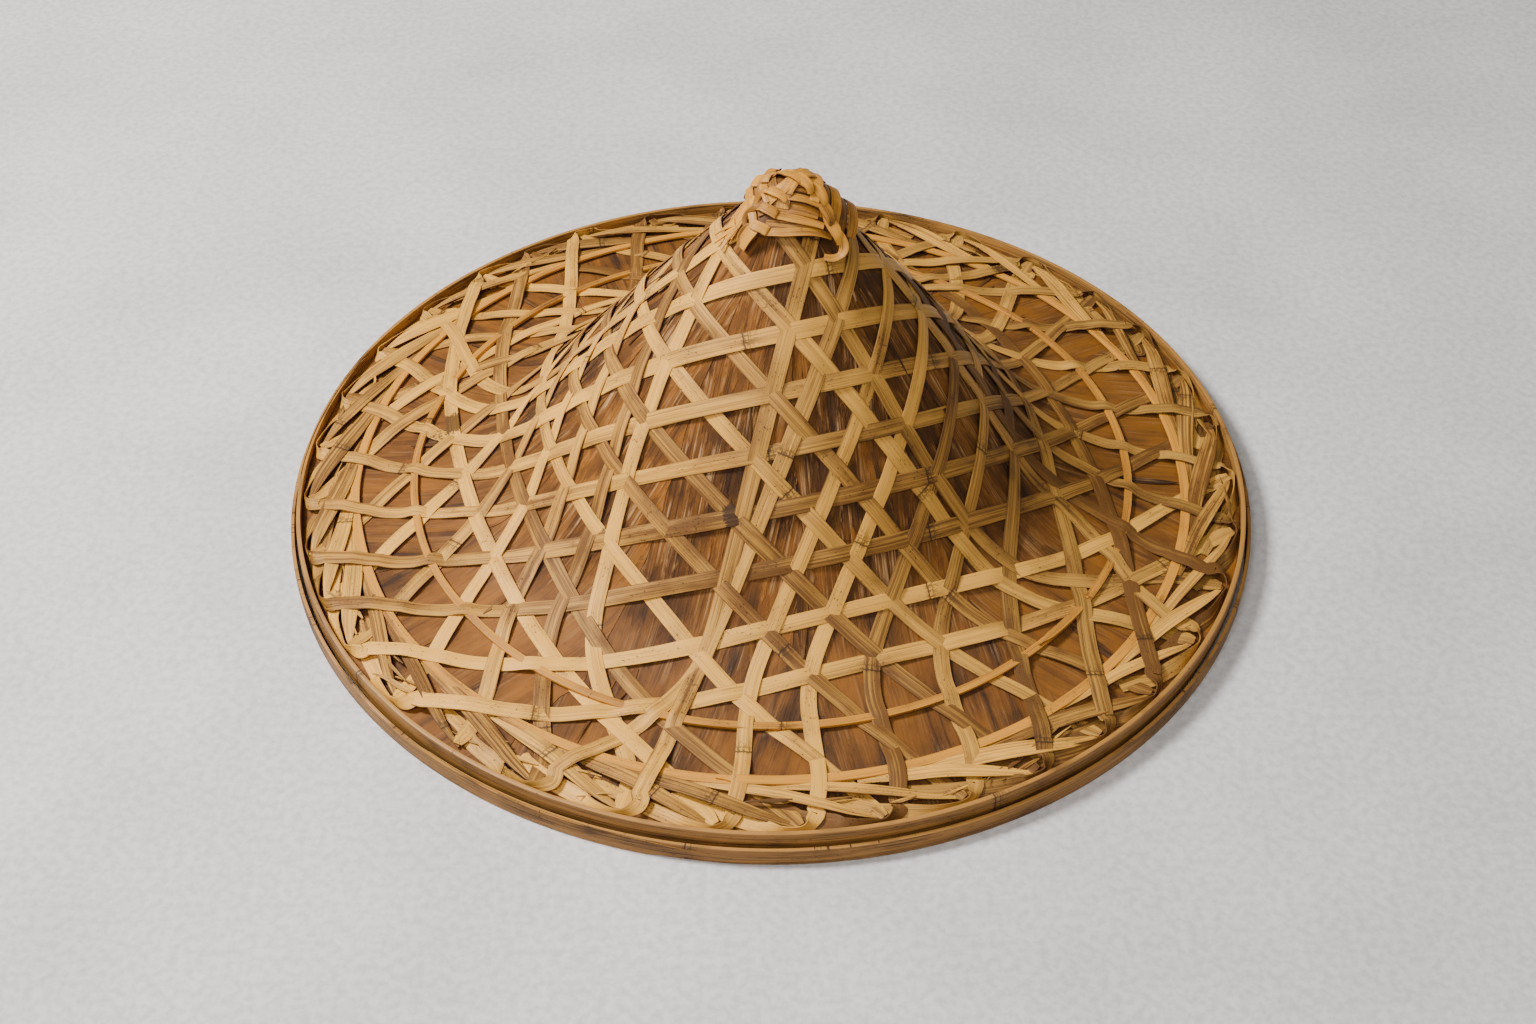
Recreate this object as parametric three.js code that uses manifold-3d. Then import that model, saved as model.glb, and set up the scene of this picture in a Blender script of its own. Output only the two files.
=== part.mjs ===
// Conical bamboo hat: a bell-shaped wall of leaf sheaths under an open six-sided
// weave of split bamboo, with a plaited cap on the point, two cane rings, a bundle
// of turned-back strip ends along the edge and two thin hoops around the rim.
// Millimetres, +Z up. The hat rests on its rim at z = 0, and its axis is the Z axis.

import * as THREE from 'three';
import { ParametricGeometry } from 'three/addons/geometries/ParametricGeometry.js';
import { mergeVertices } from 'three/addons/utils/BufferGeometryUtils.js';
import Module from 'manifold-3d';

const wasm = await Module();
wasm.setup();

// ---- driving dimensions ----

const RIM_RADIUS = 235;        // outside of the outer hoop
const RIM_HEIGHT = 16.5;       // top edge of the upper hoop
const TIP_LEAN = 7;            // the point of the crown leans this far towards +X
const LEAN_FROM = 20;          // the lean starts at this height
const GAP = 0.3;               // clearance between neighbouring pieces
const SIDES = 36;              // facets around the rings, the hoops and the brim
const CROWN_SIDES = SIDES / 2; // facets around the crown

const LEAF_WALL = 1.2;
const WEAVE_WALL = 1.6;        // two crossing strips

// Half section of the leaf layer's upper face, from the point out to the edge. The walls
// that follow it have this many facets around at each row.
const CROWN_AND_BRIM = [
  { r: 0, z: 181.0, facets: 1 },
  { r: 14, z: 171.0, facets: CROWN_SIDES },
  { r: 28, z: 155.5, facets: CROWN_SIDES },
  { r: 66, z: 111.5, facets: CROWN_SIDES },
  { r: 98.5, z: 70.0, facets: CROWN_SIDES },
  { r: 113, z: 50.7, facets: SIDES },
  { r: 127, z: 35.8, facets: SIDES },
  { r: 141, z: 26.5, facets: SIDES },
  { r: 157.5, z: 20.8, facets: SIDES },
  { r: 176, z: 17.2, facets: SIDES },
  { r: 205, z: 14.0, facets: SIDES },
  { r: 229, z: 10.6, facets: SIDES },
];
const [APEX] = CROWN_AND_BRIM;
const EDGE_RADIUS = CROWN_AND_BRIM.at(-1).r;
const LEAF_FACE = CROWN_AND_BRIM.map(({ r, z }) => new THREE.Vector2(r, z));

// The weave has four sides. Each side's strips cross one line of steepest slope
// squarely, one pitch apart, and the gaps between three strips are six-sided.
const WEAVE_TURN = -27;        // azimuth of the first corner between two sides, degrees
const STRIP_PITCH = 25.4;      // along the slope, between neighbouring strips
const STRIP_WIDTH = 7.5;
const GAP_ROWS = 7;            // rows of six-sided gaps, counted from the point

// The cap covers the point: its four ridges stand over the corners of the weave and
// reach further down than the flat faces between them.
const CAP = { faceRadius: 20, ridgeRadius: 27, faceWall: 2.6, ridgeWall: 5.2, rows: 3 };

// Flat rings that lie on the weave: middle radius, width, thickness.
const RINGS = [
  { name: 'inner_ring', r: 174, width: 3.4, thick: 1.8 },
  { name: 'rim_ring', r: 202.5, width: 4.6, thick: 1.5 },
  { name: 'rim_splints', r: 217.4, width: 20, thick: 3.2 },
];

// Thin upright hoops that clamp the edge of the brim.
const HOOPS = [
  { name: 'upper_hoop', outer: RIM_RADIUS - 2.7, wall: 3, z0: 4.5, z1: RIM_HEIGHT },
  { name: 'outer_hoop', outer: RIM_RADIUS, wall: 2.4, z0: 0, z1: 9.5 },
];

const COLOURS = {
  leaf: { color: 0x8a6038, roughness: 0.8 },
  strip: { color: 0xc09a62, roughness: 0.6 },
  cap: { color: 0xc99a54, roughness: 0.6 },
  cane: { color: 0xd09a48, roughness: 0.45 },
  hoop: { color: 0xb98a50, roughness: 0.55 },
};

// ---- the section and its walls ----

const DEG = Math.PI / 180;

// Height at radius r on a section given as points of radius and height.
function heightOn(points, r) {
  let i = 1;
  while (i < points.length - 1 && points[i].x < r) i++;
  const [a, b] = [points[i - 1], points[i]];
  return THREE.MathUtils.lerp(a.y, b.y, (r - a.x) / (b.x - a.x));
}

// The section moved outwards by a distance, as points from the axis to the edge.
// Each corner moves along the line that halves its two edges, so the wall stays even.
function offsetSection(distance) {
  const rows = CROWN_AND_BRIM;
  const normal = (a, b) => new THREE.Vector2(a.z - b.z, b.r - a.r).normalize();
  const points = rows.map((row, i) => {
    const before = i > 0 ? normal(rows[i - 1], row) : new THREE.Vector2(0, 1);
    const after = i < rows.length - 1 ? normal(row, rows[i + 1]) : before;
    const middle = before.clone().add(after).normalize();
    if (i === 0) return new THREE.Vector2(0, row.z + distance / after.y);
    return new THREE.Vector2(row.r, row.z).addScaledVector(middle, distance / middle.dot(after));
  });
  return [...points.slice(0, -1), new THREE.Vector2(EDGE_RADIUS, heightOn(points, EDGE_RADIUS))];
}

// ---- solids ----

// Welds the vertices of a closed geometry and drops the triangles that closed up.
function weld(geometry) {
  geometry.deleteAttribute('normal');
  geometry.deleteAttribute('uv');
  const merged = mergeVertices(geometry, 1e-4);
  const index = Array.from(merged.index.array);
  const kept = [];
  for (let i = 0; i < index.length; i += 3) {
    const [a, b, c] = index.slice(i, i + 3);
    if (a !== b && b !== c && c !== a) kept.push(a, b, c);
  }
  merged.setIndex(kept);
  return merged;
}

function toManifold(geometry) {
  return new wasm.Manifold(new wasm.Mesh({
    numProp: 3,
    vertProperties: new Float32Array(geometry.attributes.position.array),
    triVerts: new Uint32Array(geometry.index.array),
  }));
}

function fromManifold(solid) {
  const mesh = solid.getMesh();
  const geometry = new THREE.BufferGeometry();
  geometry.setAttribute('position', new THREE.BufferAttribute(mesh.vertProperties, 3));
  geometry.setIndex(new THREE.BufferAttribute(mesh.triVerts, 1));
  return geometry;
}

// Turns a closed section, given as points of radius and height, around the Z axis.
function turned(points) {
  return weld(new THREE.LatheGeometry(points, SIDES).rotateX(Math.PI / 2));
}

// A wall of the whole hat between two distances from the leaf layer's upper face: rings of
// vertices from the axis out along the lower face and back in along the upper one.
function wall(inner, outer) {
  const facets = CROWN_AND_BRIM.map((row) => row.facets);
  const points = [...offsetSection(inner), ...offsetSection(outer).reverse()];
  const counts = [...facets, ...facets.toReversed()];
  const starts = counts.map((_, k) => counts.slice(0, k).reduce((sum, n) => sum + n, 0));
  const positions = [];
  points.forEach(({ x: r, y: z }, k) => {
    for (let i = 0; i < counts[k]; i++) {
      const azimuth = 2 * Math.PI * i / counts[k];
      positions.push(r * Math.cos(azimuth), r * Math.sin(azimuth), z);
    }
  });
  // Two rings are joined like a zip: the ring whose next vertex comes first moves on.
  const index = [];
  for (let k = 1; k < points.length; k++) {
    const [n, m] = [counts[k - 1], counts[k]];
    const at = (ring, i) => starts[ring] + i % counts[ring];
    for (let i = 0, j = 0; i < n || j < m;) {
      const corner = [at(k, j), at(k - 1, i)];
      if ((i + 1) * m <= (j + 1) * n) index.push(...corner, at(k - 1, ++i));
      else index.push(...corner, at(k, ++j));
    }
  }
  const geometry = new THREE.BufferGeometry();
  geometry.setAttribute('position', new THREE.Float32BufferAttribute(positions, 3));
  return weld(geometry.setIndex(index));
}

// A flat ring that follows the slope of the brim and lies on the weave.
function ringOnWeave({ r, width, thick }) {
  const [r0, r1] = [r - width / 2, r + width / 2];
  const radii = [r0, ...CROWN_AND_BRIM.map((row) => row.r).filter((x) => x > r0 && x < r1), r1];
  const base = WEAVE_WALL + 2 * GAP;
  const face = (distance) => {
    const section = offsetSection(distance);
    return radii.map((x) => new THREE.Vector2(x, heightOn(section, x)));
  };
  const under = face(base);
  return turned([...under, ...face(base + thick).reverse(), under[0].clone()]);
}

function hoop({ outer, wall: thick, z0, z1 }) {
  const corners = [[outer - thick, z0], [outer, z0], [outer, z1], [outer - thick, z1], [outer - thick, z0]];
  return turned(corners.map(([r, z]) => new THREE.Vector2(r, z)));
}

// The plaited cap: thicker and longer where its four ridges run down.
function cap() {
  const stacks = 2 * CAP.rows + 1;
  const under = offsetSection(WEAVE_WALL + 3 * GAP);
  return weld(new ParametricGeometry((u, v, target) => {
    const azimuth = WEAVE_TURN * DEG + 2 * Math.PI * u;
    const ridge = Math.max(Math.cos(8 * Math.PI * u), 0) ** 3;
    const row = Math.round(v * stacks);
    const isUnder = row <= CAP.rows;
    const along = (isUnder ? row : stacks - row) / CAP.rows;
    const r = along * THREE.MathUtils.lerp(CAP.faceRadius, CAP.ridgeRadius, ridge);
    const thick = THREE.MathUtils.lerp(CAP.faceWall, CAP.ridgeWall, Math.max(ridge, 1 - 2 * along));
    const z = heightOn(isUnder ? under : offsetSection(WEAVE_WALL + 3 * GAP + thick), r);
    target.set(r * Math.cos(azimuth), r * Math.sin(azimuth), z);
  }, SIDES, stacks));
}

// Leans the upper part of a piece towards +X, in proportion to its height.
function leaned(geometry) {
  const position = geometry.attributes.position;
  for (let i = 0; i < position.count; i++) {
    const up = (position.getZ(i) - LEAN_FROM) / (APEX.z - LEAN_FROM);
    position.setX(i, position.getX(i) + TIP_LEAN * Math.max(up, 0));
  }
  return geometry;
}

// ---- the weave and its six-sided gaps ----

// A strip takes the shortest way over the crown. Where it comes closest to the axis, at
// radius c, it crosses the slope squarely. From there to radius r it turns around the axis
// by this angle: on a straight piece of the section the turn is a difference of arc cosines.
function turnAlong(c, r) {
  if (c === 0) return 0;
  let turn = 0;
  for (let i = 1; i < CROWN_AND_BRIM.length; i++) {
    const [a, b] = [CROWN_AND_BRIM[i - 1], CROWN_AND_BRIM[i]];
    const [r0, r1] = [Math.max(a.r, c), Math.min(b.r, r)];
    const stretch = Math.hypot(b.r - a.r, b.z - a.z) / (b.r - a.r);
    if (r1 > r0) turn += stretch * (Math.acos(c / r1) - Math.acos(c / r0));
  }
  return turn;
}

// The radius that lies at this length down the slope from the point.
function radiusAtLength(length) {
  let left = length;
  for (let i = 1; i < CROWN_AND_BRIM.length; i++) {
    const [a, b] = [CROWN_AND_BRIM[i - 1], CROWN_AND_BRIM[i]];
    const step = Math.hypot(b.r - a.r, b.z - a.z);
    if (left <= step) return THREE.MathUtils.lerp(a.r, b.r, left / step);
    left -= step;
  }
  return EDGE_RADIUS;
}

// Where line `row` of one side meets line `column` of the next side, a quarter turn on.
// Both run midway between two strips, so they cross in the middle of a gap.
function gapCentre(row, column) {
  const c = radiusAtLength(row * STRIP_PITCH);
  const cNext = radiusAtLength(column * STRIP_PITCH);
  const turnAt = (t) => Math.sign(t) * turnAlong(c, Math.hypot(c, t));
  let [low, high] = [-EDGE_RADIUS, EDGE_RADIUS];
  for (let i = 0; i < 40; i++) {
    const t = (low + high) / 2;
    const meets = Math.PI / 2 - turnAlong(cNext, Math.hypot(c, t)) - turnAt(t);
    if (meets > 0) low = t; else high = t;
  }
  return { c, cNext, side: Math.sign(low), r: Math.hypot(c, low), turn: turnAt(low) };
}

// Keeps the part of a flat polygon within `limit` of the origin along a direction.
function clip(polygon, direction, limit) {
  const kept = [];
  polygon.forEach((a, i) => {
    const b = polygon[(i + 1) % polygon.length];
    const [da, db] = [limit - a.dot(direction), limit - b.dot(direction)];
    if (da >= 0) kept.push(a);
    if (da * db < 0) kept.push(a.clone().lerp(b, da / (da - db)));
  });
  return kept;
}

// The outline of one gap in its tangent plane: x runs around the hat, y down the slope.
// The strips of three sides pass it, and each pair of them bounds it on two sides.
function gapOutline({ c, cNext, side, r }, row, column) {
  const cBefore = radiusAtLength((row - column) * STRIP_PITCH);
  const half = (STRIP_PITCH - STRIP_WIDTH) / 2;
  let outline = [[-1, -1], [1, -1], [1, 1], [-1, 1]].map(
    ([x, y]) => new THREE.Vector2(x, y).multiplyScalar(STRIP_PITCH));
  for (const across of [side * c / r, -cNext / r, cBefore / r]) {
    const normal = new THREE.Vector2(Math.sqrt(1 - across * across), -across);
    outline = clip(outline, normal, half);
    outline = clip(outline, normal.clone().negate(), half);
  }
  return outline;
}

function weave() {
  const reach = 8;
  let solid = toManifold(wall(GAP, GAP + WEAVE_WALL));
  for (let row = 1; row <= GAP_ROWS; row++) {
    for (let column = 1; column <= row; column++) {
      const centre = gapCentre(row, column);
      const shape = new THREE.Shape(gapOutline(centre, row, column));
      const plug = new THREE.ExtrudeGeometry(shape, { depth: 2 * reach, bevelEnabled: false });
      plug.translate(0, 0, -reach);
      const slope = Math.atan2(heightOn(LEAF_FACE, centre.r - 4) - heightOn(LEAF_FACE, centre.r + 4), 8);
      for (let quarter = 0; quarter < 4; quarter++) {
        const azimuth = (WEAVE_TURN - 45 + 90 * quarter) * DEG + centre.turn;
        const around = new THREE.Vector3(-Math.sin(azimuth), Math.cos(azimuth), 0);
        const outward = new THREE.Vector3(Math.cos(azimuth), Math.sin(azimuth), 0);
        const down = outward.clone().multiplyScalar(Math.cos(slope)).setZ(-Math.sin(slope));
        const place = new THREE.Matrix4().makeBasis(around, down, around.clone().cross(down));
        place.setPosition(outward.multiplyScalar(centre.r).setZ(heightOn(LEAF_FACE, centre.r)));
        solid = solid.subtract(toManifold(weld(plug.clone().applyMatrix4(place))));
      }
    }
  }
  return fromManifold(solid);
}

// ---- the hat ----

const hat = new THREE.Group();

function add(name, geometry, material) {
  const mesh = new THREE.Mesh(geometry, new THREE.MeshStandardMaterial(material));
  mesh.name = name;
  hat.add(mesh);
}

add('leaf_shell', leaned(wall(-LEAF_WALL, 0)), COLOURS.leaf);
add('outer_weave', leaned(weave()), COLOURS.strip);
add('tip_cap', leaned(cap()), COLOURS.cap);
for (const ring of RINGS) add(ring.name, leaned(ringOnWeave(ring)), COLOURS.cane);
for (const band of HOOPS) add(band.name, hoop(band), COLOURS.hoop);

export default hat;
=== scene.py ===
import bmesh
import bpy
import numpy as np
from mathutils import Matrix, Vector


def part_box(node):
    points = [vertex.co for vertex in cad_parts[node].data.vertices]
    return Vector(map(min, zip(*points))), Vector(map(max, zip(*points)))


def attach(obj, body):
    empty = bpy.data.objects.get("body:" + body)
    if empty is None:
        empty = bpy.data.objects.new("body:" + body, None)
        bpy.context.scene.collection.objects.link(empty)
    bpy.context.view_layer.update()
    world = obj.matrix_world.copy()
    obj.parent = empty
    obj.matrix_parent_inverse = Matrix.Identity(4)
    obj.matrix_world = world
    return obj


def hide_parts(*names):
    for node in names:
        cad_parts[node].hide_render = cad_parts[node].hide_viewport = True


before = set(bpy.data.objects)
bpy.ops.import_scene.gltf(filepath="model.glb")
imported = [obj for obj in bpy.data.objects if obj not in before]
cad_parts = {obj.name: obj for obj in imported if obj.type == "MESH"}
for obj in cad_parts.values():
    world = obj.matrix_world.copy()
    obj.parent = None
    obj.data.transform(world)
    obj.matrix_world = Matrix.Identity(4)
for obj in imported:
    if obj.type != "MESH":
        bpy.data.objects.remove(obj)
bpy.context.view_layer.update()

bl_info = {
    "name": "Conical bamboo hat",
    "version": (1, 0, 0),
    "blender": (4, 5, 0),
    "location": "View3D > Sidebar > Bamboo hat",
    "description": "Weaves and finishes a conical bamboo hat over its packed solids",
    "category": "Object",
}

MM = 0.001
HOOP_LOW, HOOP_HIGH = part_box("outer_hoop")
RIM = (HOOP_HIGH.x - HOOP_LOW.x) / 2 / MM      # outer radius of the rim, millimetres
SEED = 7

# Half section of the leaf layer's upper face: radius and height in millimetres.
SECTION = np.array([
    (0, 181.0), (14, 171.0), (28, 155.5), (66, 111.5), (98.5, 70.0), (113, 50.7), (127, 35.8),
    (141, 26.5), (157.5, 20.8), (176, 17.2), (205, 14.0), (229, 10.6), (240, 9.04),
])
TIP_LEAN = 7.0          # the point leans this far towards +X
LEAN_FROM = 20.0

# The weave has four sides, a quarter turn apart, as the part's source has it. A side's strips
# cross its steepest line squarely, one pitch apart down the slope, and the first is half a
# pitch from the point.
SIDE_AZIMUTH = {"front": -72, "right": 18, "back": 108, "left": -162}
STRIP_PITCH = 25.4
STRIPS = 9              # on each side

FOLDS = 36              # around the rim, where the strips' ends turn back
FOLD_RADIUS = 0.957     # of the rim radius
FIRST_FOLD = -95.2      # azimuth, degrees
FOLD_DRIFT = [(0, 0), (6, -5.6), (14, -5), (20, 3.5), (21, 4), (23, 0.4), (27, 1.7),
              (29, 1.5), (31, -1.6), (33, -1), (36, 0)]     # fold, degrees
# The folds of each side's first strip: its end that runs clockwise, and the other one.
SIDE_FOLDS = {"front": (24, 17), "right": (34, 26), "back": (7, 35), "left": (15, 8)}
END_SHIFTS = (0.4, -0.8)        # from a fold to those two ends, degrees
EVEN_BEND = 9           # a strip bends by up to this over the whole brim, degrees

LEAF_WALL = 1.2
LEAF_EDGE = 229.0       # radius where the leaves end
STRIP_BED = 1.45        # height of a strip's middle over the leaf layer
INNER_RING = 174.0      # radius
PATTERN = 900           # a strip's grain starts at a random place within this length


# The surface that everything lies on.

def rounded_section(step=0.5, spread=4.0):
    """Radius and height of the section with its corners rounded: the straight-line table,
    mirrored at the axis and averaged with a bell-shaped weight of the given spread."""
    radius = np.arange(-40, 240, step)
    height = np.interp(np.abs(radius), *SECTION.T)
    weight = np.exp(-0.5 * (np.arange(-4 * spread, 4 * spread + step, step) / spread) ** 2)
    soft = np.convolve(height, weight / weight.sum(), mode="same")
    keep = (radius >= 0) & (radius <= 238)
    far = radius > 215
    soft[far] = height[far]
    return radius[keep], soft[keep]


SECTION_R, SECTION_Z = rounded_section()
SECTION_SLOPE = np.gradient(SECTION_Z, SECTION_R)


def slope(r):
    return np.interp(r, SECTION_R, SECTION_SLOPE)


def on_hat(r, azimuth, height):
    """Points of the hat, in millimetres: the section's point at radius r, turned to the
    azimuth (degrees), moved by `height` along the surface's normal, then leaned."""
    a = np.radians(azimuth)
    k = slope(r)
    flat = height * -k / np.sqrt(1 + k * k)
    up = height / np.sqrt(1 + k * k)
    z = np.interp(r, SECTION_R, SECTION_Z) + up
    lean = TIP_LEAN * np.clip((z - LEAN_FROM) / (SECTION[0, 1] - LEAN_FROM), 0, None)
    return np.stack([(r + flat) * np.cos(a) + lean, (r + flat) * np.sin(a), z], -1)


def normal_on_hat(r, azimuth):
    a, k = np.radians(azimuth), slope(r)
    n = np.stack([-k * np.cos(a), -k * np.sin(a), np.ones_like(k)], -1)
    return n / np.linalg.norm(n, axis=-1, keepdims=True)


def unit(v):
    return v / np.maximum(np.linalg.norm(v, axis=-1, keepdims=True), 1e-12)


def lengths(points):
    """Distance along a line of points, starting at 0."""
    return np.concatenate([[0], np.cumsum(np.linalg.norm(np.diff(points, axis=0), axis=1))])


def smooth_noise(rng, at, scale):
    """A smooth random value for each place: random numbers `scale` apart, joined by a
    half cosine."""
    places = (at - at.min()) / scale
    knots = rng.uniform(-1, 1, int(places.max()) + 3)
    i = places.astype(int)
    t = (1 - np.cos(np.pi * (places - i))) / 2
    return knots[i] * (1 - t) + knots[i + 1] * t


# Meshes made from grids.

class Grids:
    """Collects grid surfaces and makes one mesh of them, with a UV map in metres and named
    number attributes. A face looks to the side that (next row) x (next column) points to."""

    def __init__(self):
        self.points, self.faces, self.uvs, self.count, self.values = [], [], [], 0, {}

    def add(self, points, uv, closed_across=False, **values):
        """points is (rows, columns, 3) in millimetres. uv is (rows, columns, 2), with one
        column more if the grid is closed across: every corner of a face reads its own UV."""
        rows, columns = points.shape[:2]
        i = np.arange(rows - 1)[:, None]
        j = np.arange(columns if closed_across else columns - 1)[None, :]
        corner = [(i, j), (i + 1, j), (i + 1, j + 1), (i, j + 1)]
        index = [a * columns + b % columns + self.count for a, b in corner]
        self.faces.append(np.stack(np.broadcast_arrays(*index), -1).reshape(-1, 4))
        pairs = [np.stack(np.broadcast_arrays(a, b), -1).reshape(-1, 2) for a, b in corner]
        self.uvs.append(np.stack([uv[p[:, 0], p[:, 1]] for p in pairs], 1).reshape(-1, 2))
        self.points.append(points.reshape(-1, 3))
        first, self.count = self.count, self.count + rows * columns
        for name, value in values.items():
            part = np.broadcast_to(value, (rows, columns)).ravel()
            self.values.setdefault(name, []).append(part)
        return first + np.arange(rows * columns).reshape(rows, columns)

    def close(self, loop, uv):
        """One many-sided face over a loop of points that are already there."""
        self.faces.append(np.asarray(loop)[None])
        self.uvs.append(np.asarray(uv))

    def build(self, name, smooth_angle=35, merge=False):
        points = np.concatenate(self.points) * MM
        mesh = bpy.data.meshes.new(name)
        faces = [face for part in self.faces for face in part.tolist()]
        mesh.from_pydata(points.tolist(), [], faces)
        layer = mesh.uv_layers.new(name="UVMap")
        layer.data.foreach_set("uv", np.concatenate(self.uvs).astype(np.float32).ravel())
        for key, parts in self.values.items():
            attribute = mesh.attributes.new(key, "FLOAT", "POINT")
            attribute.data.foreach_set("value", np.concatenate(parts).astype(np.float32))
        if merge:
            working = bmesh.new()
            working.from_mesh(mesh)
            bmesh.ops.remove_doubles(working, verts=working.verts, dist=1e-7)
            working.to_mesh(mesh)
            working.free()
        mesh.update()
        made = bpy.data.objects.new(name, mesh)
        bpy.context.scene.collection.objects.link(made)
        with bpy.context.temp_override(object=made, active_object=made,
                                       selected_objects=[made],
                                       selected_editable_objects=[made]):
            bpy.ops.object.shade_smooth_by_angle(angle=np.radians(smooth_angle))
        return made


# Cross section of a flat strip: across (-1 to 1) and up (0 is the under face, 1 the top),
# anticlockwise seen along the strip.
STRIP_SECTION = np.array([
    (-1.0, 0.5), (-0.97, 0.08), (-0.9, 0.0), (0.9, 0.0), (0.97, 0.08), (1.0, 0.5),
    (0.97, 0.9), (0.9, 1.0), (0.0, 1.06), (-0.9, 1.0), (-0.97, 0.9),
])
# painted shade: the strips' side faces are darkened as if they lay in shadow
SIDES_PAINTED_SHADE = np.where(np.abs(STRIP_SECTION[:, 0]) > 0.93, 0.9, 0.0)     # added to the tone


def sweep(grids, centre, normal, width, thick, start=0.0, section=STRIP_SECTION, **values):
    """A strip: the cross section carried along a line of points, with its flat side towards
    the normals. Width and thickness may change along the line. UV is (across, along) in
    metres, and `start` shifts it along."""
    tangent = unit(np.gradient(centre, axis=0))
    side = unit(np.cross(tangent, normal))
    up = unit(np.cross(side, tangent))
    half = np.broadcast_to(width, len(centre))[:, None, None] / 2
    thick = np.broadcast_to(thick, len(centre))[:, None, None]
    across = section[None, :, :1] * half * side[:, None]
    rise = (section[None, :, 1:] - 0.5) * thick * up[:, None]
    points = centre[:, None] + across + rise
    loop = np.append(section[:, 0], section[0, 0])
    uv = np.zeros((len(centre), len(loop), 2))
    uv[..., 0] = loop * half[..., 0] * MM
    uv[..., 1] = (lengths(centre)[:, None] + start) * MM
    index = grids.add(points, uv, closed_across=True, **values)
    grids.close(index[0], uv[0, :-1])
    grids.close(index[-1][::-1], uv[-1, :-1][::-1])


def through(table, count):
    """A smooth line through the rows of a table (Catmull-Rom), as `count` rows."""
    table = np.asarray(table, float)
    rows = np.vstack([2 * table[0] - table[1], table, 2 * table[-1] - table[-2]])
    place = np.linspace(0, len(table) - 1, count)
    i = np.minimum(place.astype(int), len(table) - 2)
    t = (place - i)[:, None]
    a, b, c, d = rows[i], rows[i + 1], rows[i + 2], rows[i + 3]
    return 0.5 * (2 * b + (c - a) * t + (2 * a - 5 * b + 4 * c - d) * t ** 2
                  + (3 * b - a - 3 * c + d) * t ** 3)


def lay(grids, table, count, thick, rng, **values):
    """A short strip on the hat. Each row of its table is: radius, azimuth, height over the
    leaf layer, width (mm) and tilt (degrees): at 90 the flat side looks outwards."""
    x, y, height, width, tilt = through(
        [(r * np.cos(np.radians(a)), r * np.sin(np.radians(a)), h, w, t)
         for r, a, h, w, t in table], count).T
    r, azimuth = np.hypot(x, y), np.degrees(np.arctan2(y, x))
    centre = on_hat(r, azimuth, height)
    # painted shade goes into the tone: on the strip's side faces, on the brim behind and to the left,
    # and with the wear on the right hand half
    values["tone"] = (values["tone"] + SIDES_PAINTED_SHADE + 0.6 * wear_and_shade(centre)
                      + 0.4 * shaded(centre)[:, None])
    sweep(grids, centre, tilted(centre, normal_on_hat(r, azimuth), tilt), width, thick,
          rng.uniform(0, PATTERN), **values)


def tilted(centre, normal, tilt):
    """Turns the normals about the line by the tilt, towards its right hand side for a
    positive one."""
    tangent = unit(np.gradient(centre, axis=0))
    side = unit(np.cross(tangent, normal))
    t = np.radians(tilt)[:, None]
    return normal * np.cos(t) + side * np.sin(t)


# The paths of the strips.

def free_path(closest, foot):
    """The shortest way over the crown: with t the way along it from its closest place c,
    r = sqrt(c^2 + t^2), and the azimuth turns by c * sqrt(1 + slope^2) / r^2 for each unit
    of t."""
    far = np.sqrt((FOLD_RADIUS * RIM) ** 2 - closest ** 2)
    t = np.linspace(-far, far, 1201)
    r = np.hypot(closest, t)
    rate = closest * np.sqrt(1 + slope(r) ** 2) / r ** 2
    turn = np.concatenate([[0], np.cumsum((rate[1:] + rate[:-1]) / 2 * np.diff(t))])
    return t, r, np.degrees(turn - turn[len(t) // 2]) + foot


def closest_places():
    """How close each strip of a side comes to the axis: the radius at its distance down the
    slope."""
    down = (np.arange(STRIPS) + 0.5) * STRIP_PITCH
    steps = np.hypot(np.diff(SECTION_R), np.diff(SECTION_Z))
    return np.interp(down, np.concatenate([[0], np.cumsum(steps)]), SECTION_R)


def fold_azimuth(n):
    """Azimuth of fold n: they are evenly spread, with a slow drift around the rim."""
    n = np.asarray(n) % FOLDS
    return FIRST_FOLD + 360 / FOLDS * n + np.interp(n, *np.array(FOLD_DRIFT).T)


def bend_to_folds(paths):
    """Bends each strip so that its two ends meet their folds. The azimuth shifts by two S
    curves of the radius: the even bend over the whole brim, and what is left beyond it close
    to the rim, where the splints hide it, or from the crown on if it is much."""
    for p in paths:
        first, second = SIDE_FOLDS[p["side"]]
        p["folds"] = (first + p["order"]) % FOLDS, (second - p["order"]) % FOLDS
        for end, fold in enumerate(p["folds"]):
            goal = fold_azimuth(fold) + END_SHIFTS[end]
            miss = (goal - p["azimuth"][-end] + 180) % 360 - 180
            early = np.clip(miss, -EVEN_BEND, EVEN_BEND)
            arm = (p["t"] > 0) if end else (p["t"] < 0)
            late = miss - early
            reach = (0.25, 0.93) if abs(late) > 5 else (0.80, 0.95)
            for part, (low, high) in ((early, (0.58, 0.91)), (late, reach)):
                x = np.clip((p["r"] / RIM - low) / (high - low), 0, 1)
                p["azimuth"] = p["azimuth"] + np.where(arm, part * x * x * (3 - 2 * x), 0)


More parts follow.
